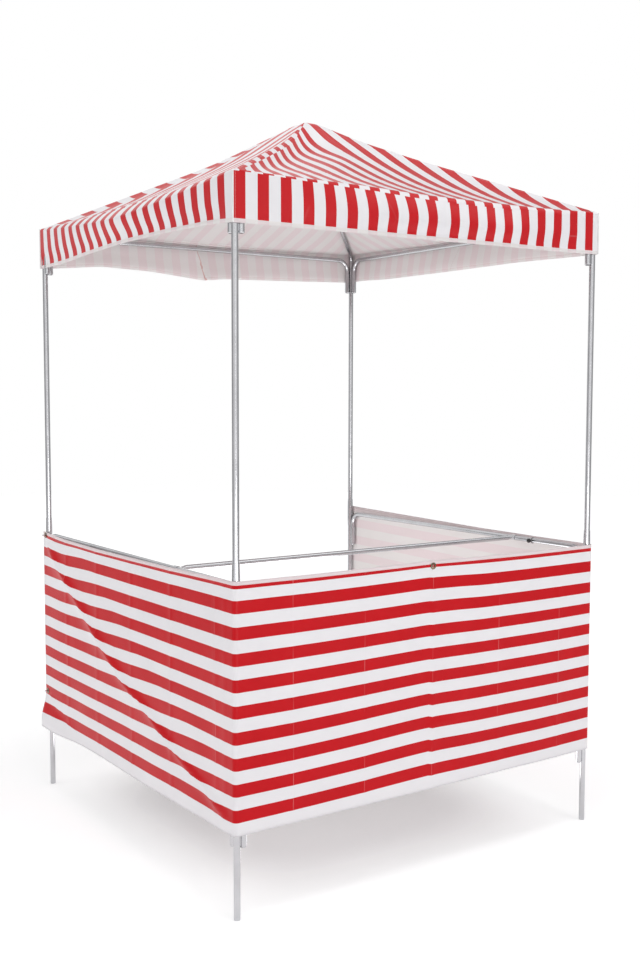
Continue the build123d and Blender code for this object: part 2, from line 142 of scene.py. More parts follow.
# The long fold across the left side: distance down and place along, and how far it lifts the
# stripes.
LONG_FOLD = ((0.0, -0.03), (0.07, 0.081), (0.222, 0.344), (0.3, 0.478), (0.445, 0.748),
    (0.51, 0.938), (0.58, 1.098), (0.655, 1.295), (0.72, 1.463), (0.76, 1.56))
FOLD_LIFT = ((-0.6, 0.006), (-0.2, 0.009), (-0.1, 0.0125), (-0.045, 0.0165), (-0.02, 0.0155),
    (0.022, 0.001), (0.05, 0.0), (0.12, -0.002), (0.19, 0.001), (0.26, 0.0035), (0.33, 0.006),
    (0.5, 0.005), (1.0, 0.003))
# Eyelets of the skirt: place along it and distance down.
EYELETS = ((0.02, 0.013), (0.02, 0.643), (2.271, 0.014), (3.318, 0.015), (4.511, 0.025),
    (4.511, 0.655))
# Packing folds down the skirt.
SKIRT_CREASES = (0.232, 0.515, 0.805, 1.101, 1.399, 1.721, 1.992, 2.271, 2.566, 2.856, 3.15, 3.44,
    3.73, 4.02, 4.31)


def plain(colour):
    """A screen colour of three bytes as the linear colour that Blender wants."""
    return tuple(c / 3294.6 if c <= 10 else ((c / 255 + 0.055) / 1.055) ** 2.4 for c in colour)


def along(table, x):
    """Value of a table of pairs at x, straight between its entries."""
    if x <= table[0][0]:
        return table[0][1]
    for (a, p), (b, q) in zip(table, table[1:]):
        if x <= b:
            return p + (q - p) * (x - a) / (b - a)
    return table[-1][1]


def eased(table, x, reach=0.03):
    """The same with its corners rounded off."""
    return (along(table, x - reach) + 2 * along(table, x) + along(table, x + reach)) / 4


def step(a, b, x):
    """0 below a, 1 above b, smooth between."""
    t = min(1.0, max(0.0, (x - a) / (b - a)))
    return t * t * (3 - 2 * t)


def hump(x, width, power=2.0):
    """1 at 0, dying away on both sides."""
    return math.exp(-(abs(x) / width) ** power)


# ---- settings --------------------------------------------------------
def length(name, text, default):
    return bpy.props.FloatProperty(
        name=name, description=text, default=default, unit="LENGTH", precision=4)


def paint(name, text, colour):
    return bpy.props.FloatVectorProperty(
        name=name, description=text, default=plain(colour), subtype="COLOR", size=3, min=0, max=1)


class StallSizes(bpy.types.PropertyGroup):
    cloth: length("Cloth", "Thickness of the coated cloth", 0.0009)
    hem: length("Hem", "Width of the turned-up hem", 0.0125)
    stripe: length("Stripe", "Width of a red stripe", 0.0395)
    pitch_left: length("Left pitch", "Stripe spacing left of the middle seam", 0.0797)
    pitch_right: length("Right pitch", "Stripe spacing right of the middle seam", 0.0784)
    skirt_pitch: length("Skirt pitch", "Stripe spacing down the skirt", 0.0785)
    piping: length("Piping", "Radius of the corner piping", 0.0022)


class StallColours(bpy.types.PropertyGroup):
    red: paint("Red", "Face of the red stripes", (196, 13, 24))
    white: paint("White", "Face of the white stripes", (233, 231, 234))
    red_back: paint("Red, back", "Back of the red stripes", (225, 211, 213))
    white_back: paint("White, back", "Back of the white stripes", (226, 222, 221))
    zinc: paint("Zinc", "Bright zinc plate", (199, 199, 202))
    brass: paint("Brass", "Eyelets", (146, 132, 112))
    floor: paint("Floor", "Studio floor", (231, 231, 232))


# ---- material kit ----------------------------------------------------
def is_socket(value):
    return isinstance(value, bpy.types.NodeSocket)


def connect(socket, value):
    """Feeds a socket from another socket, or sets it to a plain value."""
    if is_socket(value):
        socket.id_data.links.new(value, socket)
    elif value is not None:
        socket.default_value = value


def put(kind, inputs, **settings):
    """Adds a node beside the sockets that feed it, and sets its options and inputs."""
    inputs = inputs if isinstance(inputs, dict) else dict(enumerate(inputs))
    node = next(v for v in inputs.values() if is_socket(v)).id_data.nodes.new(kind)
    for key, value in settings.items():
        setattr(node, key, value)
    for key, value in inputs.items():
        connect(node.inputs[key], value)
    return node


def use(name, **inputs):
    """Places a shared group in a material."""
    inputs = {key.replace("_", " "): value for key, value in inputs.items()}
    return put("ShaderNodeGroup", inputs, node_tree=bpy.data.node_groups[name]).outputs


def feed(node, **inputs):
    """Feeds named inputs of a node, with an underscore for each space."""
    for key, value in inputs.items():
        connect(node.inputs[key.replace("_", " ")], value)


def reckon(operation, *values):
    return put("ShaderNodeMath", values, operation=operation).outputs[0]


plus, minus, times, most = (
    partial(reckon, operation) for operation in ("ADD", "SUBTRACT", "MULTIPLY", "MAXIMUM"))


def ramp(value, low, high, to_low=0.0, to_high=1.0, **settings):
    return put("ShaderNodeMapRange", (value, low, high, to_low, to_high), **settings).outputs[0]


def clouds(place, scale, detail=2.0, roughness=0.5):
    """Soft noise between 0 and 1."""
    inputs = {"Vector": place, "Scale": scale, "Detail": detail, "Roughness": roughness}
    return put("ShaderNodeTexNoise", inputs).outputs["Fac"]


def split(vector):
    return put("ShaderNodeSeparateXYZ", (vector,)).outputs


def on_object(shader):
    return shader.id_data.nodes.new("ShaderNodeTexCoord").outputs["Object"]


def blend(factor, first, second):
    """Mixes two colours, each a socket or a plain colour."""
    a, b = (c if is_socket(c) else (*c[:3], 1) for c in (first, second))
    return put("ShaderNodeMix", {0: factor, 6: a, 7: b}, data_type="RGBA").outputs[2]


def bump(height, strength, distance, normal=None):
    inputs = {"Height": height, "Strength": strength, "Distance": distance, "Normal": normal}
    return put("ShaderNodeBump", inputs).outputs[0]


def group(name, ins, outs):
    """A new node group. Its sockets are numbers, apart from one called Vector."""
    tree = bpy.data.node_groups.new(name, "ShaderNodeTree")
    for way, keys in (("INPUT", ins), ("OUTPUT", outs)):
        for key in keys:
            kind = "NodeSocketVector" if key == "Vector" else "NodeSocketFloat"
            tree.interface.new_socket(name=key, in_out=way, socket_type=kind)
    return tree.nodes.new("NodeGroupInput").outputs, tree.nodes.new("NodeGroupOutput").inputs


EDGE_BLUR = 0.0006             # soft edge of a printed stripe
STITCHES_PER_METRE = 250.0
STITCH_HALF = 0.0007           # half the width of the thread
STITCH_SHARE = 0.68            # of each stitch that shows


def make_groups():
    """Bands, lines, stitches, creases, weave and zinc cloud, shared by the materials."""
    i, o = group("Bands", ("Place", "Start", "Pitch", "Width", "Count"), ("Mask",))
    turn = reckon("DIVIDE", minus(i["Place"], i["Start"]), i["Pitch"])
    inside = times(reckon("FRACT", turn), i["Pitch"])
    rise = ramp(inside, 0.0, EDGE_BLUR)
    fall = ramp(minus(i["Width"], inside), 0.0, EDGE_BLUR)
    whole = times(reckon("GREATER_THAN", turn, 0.0),
                  reckon("LESS_THAN", turn, i["Count"]))
    connect(o["Mask"], times(times(rise, fall), whole))

    i, o = group("Line", ("Place", "At", "Half Width"), ("Mask",))
    away = reckon("ABSOLUTE", minus(i["Place"], i["At"]))
    outside = ramp(reckon("DIVIDE", away, i["Half Width"]), 0.5, 1.0)
    connect(o["Mask"], minus(1.0, outside))

    i, o = group("Stitches", ("Along", "Across", "Row"), ("Mask",))
    row = use("Line", Place=i["Across"], At=i["Row"], Half_Width=STITCH_HALF)[0]
    dash = reckon("FRACT", times(i["Along"], STITCHES_PER_METRE))
    connect(o["Mask"], times(row, reckon("LESS_THAN", dash, STITCH_SHARE)))

    i, o = group("Creases", ("Vector", "Scale"), ("Line", "Height"))
    inputs = {"Vector": i["Vector"], "Scale": i["Scale"], "Randomness": 1.0}
    gap = put("ShaderNodeTexVoronoi", inputs, feature="DISTANCE_TO_EDGE").outputs["Distance"]
    patchy = clouds(i["Vector"], 6.0, 1.0)
    for key, reach, low in (("Line", 0.012, 0.56), ("Height", 0.06, 0.5)):
        crease = minus(1.0, ramp(gap, 0.0, reach))
        connect(o[key], times(crease, ramp(patchy, low, 0.7)))

    i, o = group("Weave", ("Vector", "Pitch"), ("Height",))
    threads = [reckon("SINE", reckon("DIVIDE", times(way, 6.2832), i["Pitch"]))
               for way in split(i["Vector"])[:2]]
    connect(o["Height"], times(*threads))

    i, o = group("Zinc cloud", ("Vector",), ("Shade", "Streak"))
    connect(o["Shade"], clouds(i["Vector"], 14.0, 3.0, 0.55))
    connect(o["Streak"], clouds(i["Vector"], 90.0, 3.0))


def material(name):
    """A material with its shader, ready to be fed."""
    made = bpy.data.materials.new(name)
    made.use_nodes = True
    return made, made.node_tree.nodes["Principled BSDF"]


# ---- cloth -----------------------------------------------------------
STITCH_COLOUR = plain((228, 222, 219))
BACK_STITCH_COLOUR = plain((176, 120, 118))
# Paler colour along creases and packing folds: partly whitened cloth, partly a painted highlight.
CREASE_WHITENING_AND_HIGHLIGHT_COLOUR = plain((226, 190, 190))
SEWN_EDGE_COLOUR = plain((196, 120, 112))
DULL_BACK_COLOUR = plain((222, 214, 211))
CLOTH_THREAD = 0.0026
HEM_STITCH_INSET = 0.002
CORNER_STITCH = 0.0075
PACKED_HALF = 0.0018           # half the width of a fold from packing
PLEAT_MARK = 1.0               # seam distance given to the pleat's edge, which has no stitches
PLEAT_EDGE_HALF = 0.0018       # half the width of that edge
FAR = 0.5                      # a distance at which no seam or fold shows


def cloth_maps(shader):
    """The cloth's three maps, each as its vector and its two numbers.

    Cloth: place in the print, across and up. Seams: distance to the nearest corner or end,
    and to the hem. Creases: distance to a packing fold, and to a seam.
    """
    found = []
    for layer in MAPS:
        node = shader.id_data.nodes.new("ShaderNodeUVMap")
        node.uv_map = layer
        found.append((node.outputs[0], *split(node.outputs[0])[:2]))
    return found


def canopy_mask(maps, sizes):
    """Upright stripes, with a join of the printed cloth in the middle."""
    _, across, _ = maps[0]
    left = use("Bands", Place=across, Start=0.002, Pitch=sizes.pitch_left,
               Width=sizes.stripe, Count=9.6)[0]
    right = use("Bands", Place=across, Start=0.8135, Pitch=sizes.pitch_right,
                Width=sizes.stripe - 0.0005, Count=8.7)[0]
    return most(left, right)


def skirt_mask(maps, sizes):
    """Level stripes, the top one cut through by the edge."""
    _, _, down = maps[0]
    main = use("Bands", Place=down, Start=0.0575, Pitch=sizes.skirt_pitch,
               Width=sizes.stripe, Count=8.7)[0]
    top = use("Bands", Place=down, Start=0.0, Pitch=1.0, Width=0.0235, Count=1.0)[0]
    return most(main, top)


def sewing(maps, sizes):
    """Stitch rows of the hem, the corners and the other seams."""
    (_, u, v), (_, corner, hem), (_, _, seam) = maps
    hems = use("Stitches", Along=u, Across=hem, Row=sizes.hem - HEM_STITCH_INSET)[0]
    corners = use("Stitches", Along=v, Across=corner, Row=CORNER_STITCH)[0]
    seams = use("Stitches", Along=plus(u, v), Across=seam, Row=0.0)[0]
    return most(most(hems, corners), seams)


def cloth_face(name, mask_of, sizes, colours, crumpled, gloss):
    """Printed and coated face: stripes, hem, stitching, creases and a fine weave."""
    made, shader = material(name)
    maps = cloth_maps(shader)
    (flat, _, _), (_, _, hem), (_, crease, _) = maps
    mask = mask_of(maps, sizes)
    tone = clouds(flat, 9.0, 3.0)
    white, red = (
        blend(ramp(tone, 0.3, 0.7, 0.0, reach), colour, tuple(c * shade for c in colour))
        for colour, reach, shade in ((colours.white, 0.35, 0.93), (colours.red, 0.5, 0.88)))
    face = blend(mask, white, red)

    # Creases and packing folds are painted paler, most on the red: partly whitened cloth, partly a
    # painted highlight along each fold.
    net = use("Creases", Vector=flat, Scale=3.2)
    patchy = clouds(flat, 5.0)
    packed = times(use("Line", Place=crease, At=0.0, Half_Width=PACKED_HALF)[0],
                   ramp(patchy, 0.42, 0.68))
    crease_marks = most(times(net["Line"], crumpled), times(packed, 0.5))
    whitened_and_highlighted = blend(0.5, face, CREASE_WHITENING_AND_HIGHLIGHT_COLOUR)
    face = blend(times(crease_marks, ramp(mask, 0.0, 1.0, 0.08, 0.8)), face, whitened_and_highlighted)

    back = blend(mask, colours.white_back, colours.red_back)
    face = blend(reckon("LESS_THAN", hem, sizes.hem), face, back)
    sewn = sewing(maps, sizes)
    face = blend(times(sewn, 0.5), face, STITCH_COLOUR)

    weave = use("Weave", Vector=flat, Pitch=CLOTH_THREAD)[0]
    fold = plus(times(net["Height"], crumpled), times(packed, 0.8))
    normal = bump(fold, 0.35, 0.0014)
    normal = bump(clouds(flat, 26.0), 0.2, 0.0015, normal)
    thread = plus(weave, times(sewn, 3.0))
    normal = bump(thread, 0.2, 0.00012, normal)
    wear = plus(times(tone, 0.6), times(crease_marks, 0.4))
    feed(shader, Base_Color=face, Roughness=ramp(wear, 0.1, 0.9, 0.31, 0.43),
         Normal=normal, Specular_IOR_Level=gloss)
    return made


def cloth_back(name, mask_of, sizes, colours, crumpled):
    """Unprinted back, where the stripes only show through."""
    made, shader = material(name)
    maps = cloth_maps(shader)
    flat, seam = maps[0][0], maps[2][2]
    tone = clouds(flat, 7.0, 3.0)
    back = blend(mask_of(maps, sizes), colours.white_back, colours.red_back)
    back = blend(ramp(tone, 0.3, 0.7, 0.0, 0.25), back, DULL_BACK_COLOUR)
    sewn = sewing(maps, sizes)
    back = blend(times(sewn, 0.6), back, BACK_STITCH_COLOUR)
    edge = use("Line", Place=seam, At=PLEAT_MARK, Half_Width=PLEAT_EDGE_HALF)[0]
    back = blend(times(edge, 0.6), back, SEWN_EDGE_COLOUR)
    net = use("Creases", Vector=flat, Scale=3.2)
    weave = use("Weave", Vector=flat, Pitch=CLOTH_THREAD)[0]
    normal = bump(times(net["Height"], crumpled), 0.3, 0.0012)
    thread = plus(weave, times(sewn, 3.0))
    feed(shader, Base_Color=back, Roughness=ramp(tone, 0.2, 0.8, 0.5, 0.62),
         Normal=bump(thread, 0.25, 0.00015, normal), Specular_IOR_Level=0.3)
    return made


# ---- metal, rubber and trims -----------------------------------------
def metal(name, colour, low, high):
    """Plated metal with a cloudy shade, fine drawing marks and slight unevenness."""
    made, shader = material(name)
    cloud = use("Zinc cloud", Vector=on_object(shader))
    base = blend(ramp(cloud["Shade"], 0.35, 0.65), tuple(c * 0.9 for c in colour), colour)
    marks = plus(cloud["Shade"], times(cloud["Streak"], 0.5))
    feed(shader, Base_Color=base, Metallic=1.0, Roughness=ramp(marks, 0.5, 1.0, low, high),
         Normal=bump(cloud["Streak"], 0.3, 0.00002))
    return made


def moulded(name, colour, rough):
    """Moulded plastic or rubber with a faint grain."""
    made, shader = material(name)
    place = on_object(shader)
    wear = clouds(place, 60.0)
    light = tuple(min(1, c * 1.5 + 0.01) for c in colour)
    feed(shader, Base_Color=blend(ramp(wear, 0.4, 0.7, 0.0, 0.6), colour, light),
         Roughness=ramp(wear, 0.3, 0.7, rough, rough + 0.12),
         Normal=bump(clouds(place, 600.0), 0.3, 0.0001))
    return made


def braid(name):
    """Elastic with a woven cover."""
    made, shader = material(name)
    weave = use("Weave", Vector=on_object(shader), Pitch=0.0016)[0]
    base = blend(ramp(weave, -0.4, 0.6), plain((150, 150, 152)), plain((206, 205, 204)))
    feed(shader, Base_Color=base, Roughness=0.8, Normal=bump(weave, 0.5, 0.0003))
    return made


def piping_cloth(name):
    """White woven tape."""
    made, shader = material(name)
    place = on_object(shader)
    weave = use("Weave", Vector=place, Pitch=0.0022)[0]
    base = blend(ramp(clouds(place, 30.0), 0.3, 0.7),
                 plain((240, 240, 240)), plain((228, 228, 227)))
    feed(shader, Base_Color=base, Roughness=0.42, Normal=bump(weave, 0.3, 0.0002))
    return made


# ---- mesh kit --------------------------------------------------------
def new_object(bm, name, *materials):
    """Turns a bmesh into an object of the scene."""
    mesh = bpy.data.meshes.new(name)
    bm.to_mesh(mesh)
    bm.free()
    for item in materials:
        mesh.materials.append(item)
    made = bpy.data.objects.new(name, mesh)
    bpy.context.scene.collection.objects.link(made)
    return made


def finish_piece(bm, name, materials, smooth=60.0):
    """Turns a bmesh into a smooth, named piece of the stall."""
    piece = new_object(bm, name, *materials)
    piece.data.polygons.foreach_set("use_smooth", [True] * len(piece.data.polygons))
    piece.data.set_sharp_from_angle(angle=math.radians(smooth))
    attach(piece, "root")
    return piece


def finish_cloth(bm, name, is_inside_out, mask_of, crumpled, gloss):
    """Turns a bmesh into a cloth that is printed outside, pale inside, and as thick as set."""
    bmesh.ops.recalc_face_normals(bm, faces=bm.faces[:])
    if is_inside_out():
        bmesh.ops.reverse_faces(bm, faces=bm.faces[:])
    sizes, colours = bpy.context.scene.stall_sizes, bpy.context.scene.stall_colours
    face = cloth_face(f"{name} cloth, face", mask_of, sizes, colours, crumpled[0], gloss)
    back = cloth_back(f"{name} cloth, back", mask_of, sizes, colours, crumpled[1])
    piece = finish_piece(bm, name, (face, back))
    shell = piece.modifiers.new("Thickness", "SOLIDIFY")
    shell.thickness = sizes.cloth
    shell.offset = -1.0
    shell.material_offset = 1
    shell.material_offset_rim = 0
    return piece


# ---- canopy ----------------------------------------------------------
# The canopy is rings round the stall: up the valance, over its roll, and up the roof.
VALANCE_PARTS = (0.0, 0.075, 0.092, *(0.092 + 0.908 * (n / 10) for n in range(1, 11)))
ROLL_ANGLES = (12, 30, 48, 66, 80, 90)
ROOF_DEPTHS = (0.0015, 0.0035, 0.006, 0.01, 0.017, 0.027, 0.04, 0.056, 0.075,
               *(0.075 + 0.0185 * n for n in range(1, 35)), 0.715, 0.7275, 0.735, 0.744)
ROLL_START = len(VALANCE_PARTS)
ROOF_START = ROLL_START + len(ROLL_ANGLES)
RINGS = ROOF_START + len(ROOF_DEPTHS)

COLUMNS = 100                  # round each side
HIP_COLUMNS = (0.0, 0.004, 0.01, 0.018, 0.028, 0.04, 0.055)
CORNER_INSET = 0.002
HEM_EXTRA = 0.0009             # the turned-up hem stands out by a layer of cloth
RIDGE_TURN = 0.06              # length over which the roof turns steeper
KNEE = 0.06                    # half width where the peak starts to round off
ROOF_FOLD = 0.0013
FOLDS_ACROSS = (-0.55, -0.27, 0.01, 0.29, 0.57)
FOLDS_UP = (0.2, 0.42)
HIP_RAISE = 0.0095             # at the front right hip
ROOF_BEGINS = 0.16             # height in the print at which the roof begins
SLOPE_STRETCH = 1.1            # metres of print up the slope for each metre inwards
SIDE_STEP = 2.2                # moves each side on in the print, so that no tone, wear or painted crease highlight repeats
ROOF_SEWN = 0.011              # width of the roof's sewn edge
ROOF_STITCH = 0.0035           # its stitches' distance from the seam
LEFT_SHIFT = 0.006             # how far the left roof is sewn to one side of its valance
HIP_WRAP = (0.7, 1.105)        # print of the left roof at its front hip: start and rate

# How far each side's valance bulges at its top, swings in at its hem, and is drawn in at
# the roll.
BULGE = {"right": 0.012, "back": 0.01, "left": 0.0215}
SWING = {"front": 0.007, "right": 0.004, "back": 0.009, "left": 0.008}
INSET = {"front": 0.012, "right": 0.012, "back": 0.012, "left": 0.018}

# A point of the canopy: its position, its place in the print across and up, and its
# distances to the hem, the corner, the middle of the side, and the nearest seam.
Spot = namedtuple("Spot", "place pattern height hem corner across seam")


def column_place(k, half=EAVE_HALF):
    """Place of column k on a side: set distances next to the hips, even steps between."""
    shrink = min(1.0, half / 0.2)
    last = len(HIP_COLUMNS) - 1
    near = min(k, COLUMNS - k)
    if near <= last:
        gap = HIP_COLUMNS[near] * shrink
    else:
        inner = half - HIP_COLUMNS[last] * shrink
        gap = half - inner * (1 - (near - last) / (COLUMNS / 2 - last))
    return (half - gap) * (-1 if k < COLUMNS / 2 else 1)


def loose(side, s):
    """How freely the cloth moves at a place along the side: 0 at the corners."""
    if side == "front":
        return step(-0.3, -0.02, s) * (1 - step(0.42, 0.72, s))
    centre = {"left": -0.02, "right": 0.05, "back": 0.0}[side]
    reach = abs(s - centre) / (EAVE_HALF + abs(centre))
    return max(0.0, 1 - reach) ** 0.85


def pleat_line(part):
    """Place of the pleat along the back valance, which leans a little."""
    return 0.023 + 0.034 * part


def middle_seam(side, part):
    """Place of the sewn seam in the middle of a valance."""
    if side == "right":
        return 0.05 - 0.055 * part + 0.05 * max(0.0, part - 0.72)
    return {"front": 0.0335, "left": 0.0055, "back": -0.3}[side]


def front_swell(s):
    """How far the front valance swells below its top."""
    return 0.012 * step(-0.6, -0.3, s) * (1 - step(0.3, 0.55, s))


def front_pucker(part):
    """How strongly the front's stripes are pulled aside, towards its top."""
    return max(0.0, (part - 0.45) / 0.55) ** 1.7


def front_hump(part):
    return step(0.0, 0.4, part) * (1 - front_pucker(part))


def crest(side, s):
    """Height of the valance's top, and how far the cloth rolls up from there to the roof."""
    seam_z = eased(SEAM_LINE[side], s)
    if side == "front":
        roll = seam_z - eased(FRONT_CREST, s)
    else:
        roll = 0.004 + (0.036 if side == "left" else 0.02) * loose(side, s)
    return seam_z - roll, roll


def top_bulge(side, s):
    share = -0.002 * step(0.2, 0.35, s) if side == "front" else BULGE[side]
    return share * loose(side, s)


def roll_point(side, s, angle):
    """(outward offset, height) of the roll from the valance's top at 0 to the roof at 90."""
    crest_z, roll = crest(side, s)
    bulge = top_bulge(side, s)
    held = step(0.0, 0.2, EAVE_HALF - abs(s)) if side == "front" else loose(side, s)
    inset = CORNER_INSET + INSET[side] * held
    if side == "left":
        part = angle / 90
        return bulge - (bulge + inset) * part ** 1.12, crest_z + roll * (1 - (1 - part) ** 1.15)
    a = math.radians(angle)
    return -inset + (bulge + inset) * math.cos(a), crest_z + roll * math.sin(a)


def valance_point(side, s, part):
    """(outward offset, height) of the valance, from its hem at part 0 to its top at 1."""
    free = loose(side, s)
    hem_z = eased(HEM_LINE[side], s)
    z = hem_z + (crest(side, s)[0] - hem_z) * part
    swing = -SWING[side] * step(0.0, 0.25, free) * (1 - step(0.1, 0.55, part))
    out = top_bulge(side, s) * step(0.3, 1.0, part) + swing
    if side == "front":
        out += front_swell(s) * front_hump(part)
    ripple = noise.noise(Vector((s * 6.0, part * 1.5, len(side) * 7.0)))
    out += 0.0035 * ripple * step(0.0, 0.3, free) * (1 - part * 0.6)
    if side == "back" and part < 1:
        over = s - pleat_line(part)
        flap = -0.016 * hump(over, 0.07, 1.4) if over < 0 else 0.003 * hump(over, 0.05)
        out += flap * (1 - 0.75 * part) * step(1.0, 0.8, part)
    return out, z


def slope_height(u):
    """Height of the hips at a level distance u in from the eave."""
    half = EAVE_HALF - u
    steep = EAVE_Z + ROOF_RISE * (EAVE_HALF - STEEP_HALF)
    if half < KNEE:
        top = steep + STEEP_RISE * (STEEP_HALF - KNEE)
        left = (KNEE - half) / KNEE
        return top + (APEX_Z - top) * (1 - (1 - left) ** 1.9)
    past = STEEP_HALF - half
    z = steep + ROOF_RISE * past
    extra = STEEP_RISE - ROOF_RISE
    if past > RIDGE_TURN:
        z += extra * past
    elif past > -RIDGE_TURN:
        z += extra * (past + RIDGE_TURN) ** 2 / (4 * RIDGE_TURN)
    return z


def roof_height(side, s, u, half):
    """Height of the roof cloth, with its sag, waves and packing folds."""
    gap = max(half - abs(s), 0.0)
    hooked = step(0.05, -0.05, s) if side == "front" else 0.0
    sag = along(SAG, u) + along(HOOK, u) * (1 - step(0.08, 0.3, gap)) * hooked
    sag *= 1 - hump(gap, 0.035, 1.8) * hooked - hump(gap, 0.06, 1.0) * (1 - hooked)
    wave = noise.noise(Vector((s * 4.0, u * 3.0, len(side) * 3.0))) * 0.003
    wave *= step(0.0, 0.15, gap) * step(0.02, 0.12, u) * (1 - step(0.6, 0.7, u))
    fold = sum(hump(s - place, 0.006, 1.3) for place in FOLDS_ACROSS)
    fold += sum(hump(u - place, 0.006, 1.3) for place in FOLDS_UP)
    fold *= ROOF_FOLD * step(0.0, 0.12, gap) * step(0.03, 0.1, u)
    hip = 0.0
    if (side == "front" and s > 0) or (side == "right" and s < 0):
        hip = HIP_RAISE * hump(gap, 0.17) * step(0.12, 0.26, half) * step(0.0, 0.1, abs(s))
    return slope_height(u) - sag + wave + fold + hip


def roof_pattern(side, s, u):
    """Where a point of the roof lies in the print, as it was sewn and pulled."""
    if side != "front":
        return s - (LEFT_SHIFT if side == "left" else 0.004) * (1 - u)
    c = s
    for _ in range(6):
        low, high = along(SEAM_SHIFT, c), along(HIP_SHIFT, c)
        reach = max(0.03, EAVE_HALF - abs(c + high))
        c = s - low - (high - low) * min(1.0, u / reach)
    return c


def valance_spot(side, ring, k):
    """Spot of the valance or of its roll."""
    out, right = SIDES[side]
    s = column_place(k)
    share = ring / ROLL_START
    if side == "back" and share < 1 and abs(s - pleat_line(share)) < 0.05:
        over = s - pleat_line(share)
        s += over * ((abs(over) / 0.05) ** 0.8 - 1) * (1 - step(0.6, 1.0, share))
    pattern = along(PATTERN[side], s)
    if ring < ROLL_START:
        part = VALANCE_PARTS[ring]
        offset, z = valance_point(side, s, part)
        offset += HEM_EXTRA if ring < 2 else 0.0
        level = s
        height = z - eased(HEM_LINE[side], s)
        if side == "front":
            pattern += along(FRONT_PULL, s) * front_pucker(part)
            pattern += 0.5 * front_swell(s) * front_hump(part)
    else:
        angle = ROLL_ANGLES[ring - ROLL_START]
        offset, z = roll_point(side, s, angle)
        corner = roll_point(side, EAVE_HALF, angle)[0]
        level = s * ((EAVE_HALF + corner) / EAVE_HALF)
        height = z - eased(HEM_LINE[side], s) + 0.03 * (1 - math.cos(math.radians(angle)))
    place = out * (EAVE_HALF + offset) + right * level
    place.z = z
    seam = s - middle_seam(side, min(1.0, height / 0.13))
    if side == "back":
        seam = PLEAT_MARK + s - pleat_line(share)
    return Spot(place, pattern, height, height, EAVE_HALF - abs(s), FAR, seam)


def roof_spot(side, ring, k):
    """Spot of the roof."""
    out, right = SIDES[side]
    depth = ROOF_DEPTHS[ring - ROOF_START]
    s = column_place(k)
    held = loose(side, s) < 0.02
    seam_out, seam_z = roll_point(side, s, 90)
    fade = max(0.0, 1 - depth / 0.12)
    u = depth - seam_out * fade
    corner_u = depth + CORNER_INSET * fade
    half = EAVE_HALF - corner_u
    s = column_place(k, half)
    if held:
        full = roof_height(side, s, corner_u, half)
    else:
        full = roof_height(side, s, u, max(half, EAVE_HALF - u))
    place = out * (EAVE_HALF - u) + right * s
    place.z = seam_z + (full - seam_z) * step(-0.004, 0.0105, depth)
    pattern = along(PATTERN[side], roof_pattern(side, s, depth))
    height = ROOF_BEGINS + depth * SLOPE_STRETCH
    return Spot(place, pattern, height, ROOF_BEGINS + depth, half - abs(s), s, depth)


def canopy_spot(side, ring, k):
    return (valance_spot if ring < ROOF_START else roof_spot)(side, ring, k)


def raise_canopy(bm):
    """Extrudes ring after ring round the stall and closes the last one at the peak."""
    column = bm.verts.layers.int.new("column")
    level = bm.verts.layers.int.new("level")
    current = bmesh.ops.create_circle(bm, segments=4 * COLUMNS, radius=1.0)["verts"]
    for n, vert in enumerate(current):
        vert[column] = n
    edges = bm.edges[:]
    for ring in range(RINGS):
        if ring:
            grown = bmesh.ops.extrude_edge_only(bm, edges=edges)["geom"]
            current = [x for x in grown if isinstance(x, bmesh.types.BMVert)]
            fresh = set(current)
            edges = [x for x in grown if isinstance(x, bmesh.types.BMEdge)
                     and x.verts[0] in fresh and x.verts[1] in fresh]
        for vert in current:
            number, k = divmod(vert[column], COLUMNS)
            vert.co = canopy_spot(SIDE_NAMES[number], ring, k).place
            vert[level] = ring
    return column, level, current


def canopy_pattern(side, spot, loop, ring, k, face_rings, from_corner):
    """Place in the print across, mended where the cloth is sewn on or wraps round a hip."""
    if side == "left" and from_corner < len(HIP_COLUMNS) - 1 and face_rings[0] > ROOF_START + 1:
        start, rate = HIP_WRAP
        return start - rate * loop.vert.co.x
    if side == "front" and from_corner < 3 and face_rings[0] > ROOF_START + 5:
        return along(PATTERN["left"], -loop.vert.co.y - LEFT_SHIFT)
    sewn_at = (ROLL_START if side == "front" else ROOF_START) - 1
    if sewn_at <= ring < ROOF_START and face_rings[1] > sewn_at:
        return along(PATTERN[side], roof_pattern(side, column_place(k), 0.0))
    return spot.pattern


def lay_canopy_maps(bm, column, level):
    """Writes the canopy's three maps."""
    cloth, seams, creases = (bm.loops.layers.uv.new(layer) for layer in MAPS)
    for face in bm.faces:
        columns = [v[column] for v in face.verts]
        wraps = max(columns) - min(columns) > 2 * COLUMNS
        number, from_corner = divmod(max(columns) if wraps else min(columns), COLUMNS)
        side = SIDE_NAMES[number]
        rings = [v[level] for v in face.verts]
        face_rings = min(rings), max(rings)
        middle = sum((v.co for v in face.verts), Vector()) / len(face.verts)
        fold_at = min(FOLDS_ACROSS, key=lambda a: abs(middle.dot(SIDES[side][1]) - a))
        for loop in face.loops:
            k = (loop.vert[column] - number * COLUMNS) % (4 * COLUMNS)
            ring = loop.vert[level]
            spot = canopy_spot(side, ring, k)
            pattern = canopy_pattern(side, spot, loop, ring, k, face_rings, from_corner)
            loop[cloth].uv = (pattern, spot.height + SIDE_STEP * number)
            loop[seams].uv = (spot.corner, spot.hem)
            crease, seam = spot.across, spot.seam
            if ring >= ROOF_START:
                crease -= fold_at
                seam = seam - ROOF_STITCH if seam < ROOF_SEWN else FAR
            loop[creases].uv = (crease, seam)


